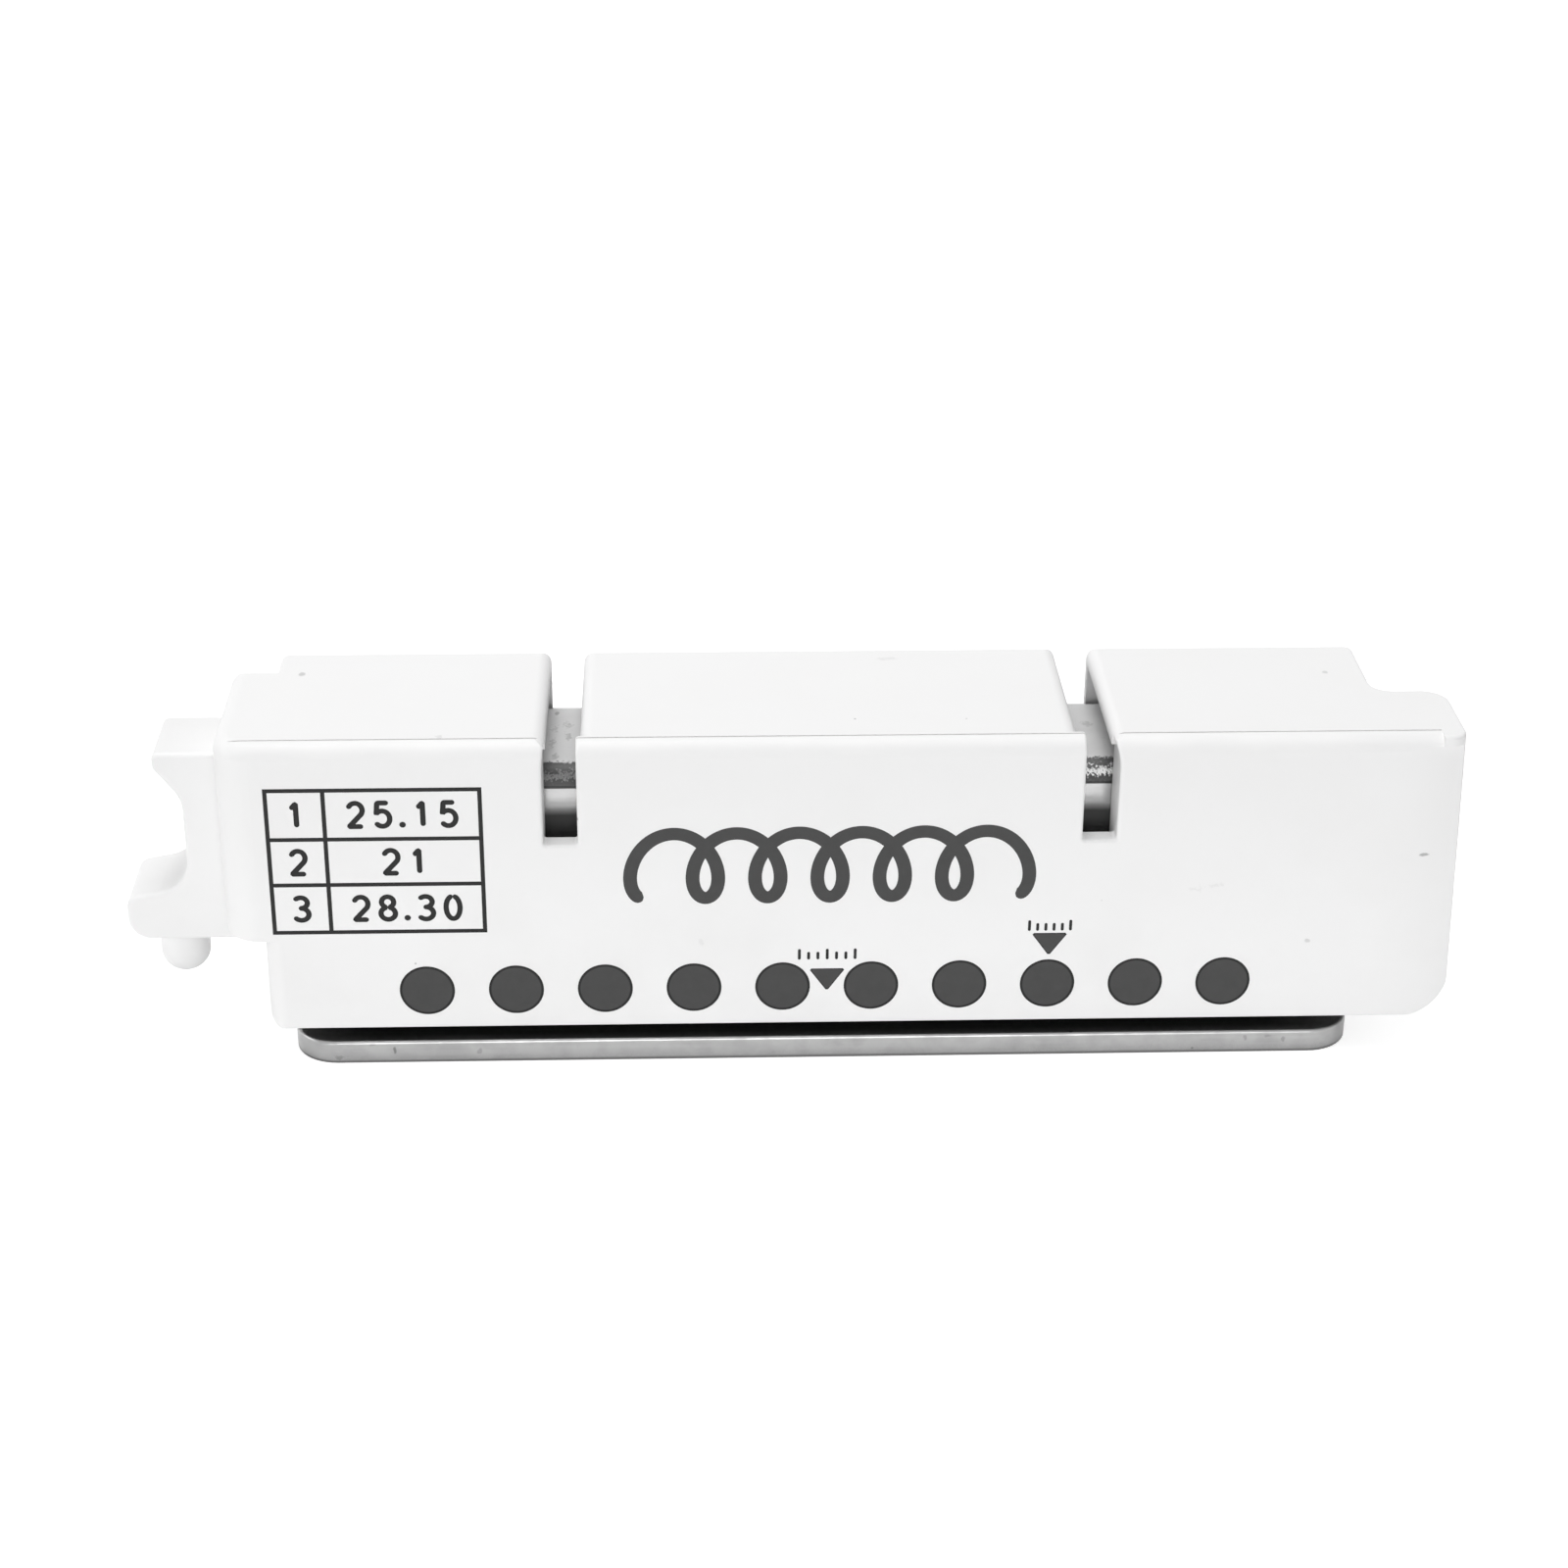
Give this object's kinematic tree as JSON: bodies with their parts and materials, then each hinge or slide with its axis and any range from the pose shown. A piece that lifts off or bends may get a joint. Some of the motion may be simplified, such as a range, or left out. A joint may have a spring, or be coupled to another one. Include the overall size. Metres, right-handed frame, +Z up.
{
  "type": "binding punch",
  "caption": "Desk punching head for coil binding: round punches under a sprung steel press channel in a white casing, with a sprung index arm.",
  "frame": {"origin": "middle of the row of die holes, on the underside of the die plate", "axes": "+X along the row of punches to the right, +Y to the back, +Z up, against the stroke"},
  "size_m": [0.1285, 0.0258, 0.0337],
  "materials": {
    "casing_plastic": "white moulded plastic, satin",
    "arm_plastic": "white moulded plastic, slightly glossier",
    "plate_steel": "ground steel with a fine grain along its length",
    "press_steel": "rolled steel with fine scratches, speckled at the bend",
    "tool_steel": "hardened and ground",
    "bright_steel": "polished",
    "spring_steel": "drawn wire",
    "fastener_steel": "zinc plated",
    "bush_bronze": "sintered bronze"
  },
  "bodies": {
    "frame": {"die_plate": "plate_steel", "gap_spacer": "plate_steel", "guide_plate": "plate_steel", "guide_bridge": "plate_steel", "bridge_rivets": "fastener_steel", "frame_screws": "fastener_steel", "dowel_pins": "tool_steel", "casing": "casing_plastic", "casing_screws": "fastener_steel", "post_clips": "spring_steel", "guide_post_left": "bright_steel", "guide_post_right": "bright_steel", "return_spring_left": "spring_steel", "return_spring_right": "spring_steel", "index_rod": "bright_steel", "index_spring": "spring_steel"},
    "press": {"press_channel": "press_steel", "punch_comb": "plate_steel", "comb_spacers": "bright_steel", "comb_screws": "fastener_steel", "press_bush_left": "bush_bronze", "press_bush_right": "bush_bronze", "punch_pin_01": "tool_steel", "punch_pin_02": "tool_steel", "punch_pin_03": "tool_steel", "punch_pin_04": "tool_steel", "punch_pin_05": "tool_steel", "punch_pin_06": "tool_steel", "punch_pin_07": "tool_steel", "punch_pin_08": "tool_steel", "punch_pin_09": "tool_steel", "punch_pin_10": "tool_steel"},
    "index": {"index_arm": "arm_plastic"}
  },
  "joints": [
    {"name": "press_slide", "type": "slide", "parent": "frame", "child": "press", "axis": [0, 0, -1], "range_m": [0, 0.0044], "stiffness_N_per_m": 2570, "springref_m": -0.0055, "deforming": ["return_spring_left", "return_spring_right"]},
    {"name": "index_lift", "type": "slide", "parent": "frame", "child": "index", "axis": [0, 0, 1], "range_m": [0, 0.004], "stiffness_N_per_m": 610, "springref_m": -0.003, "deforming": ["index_spring"]}
  ]
}
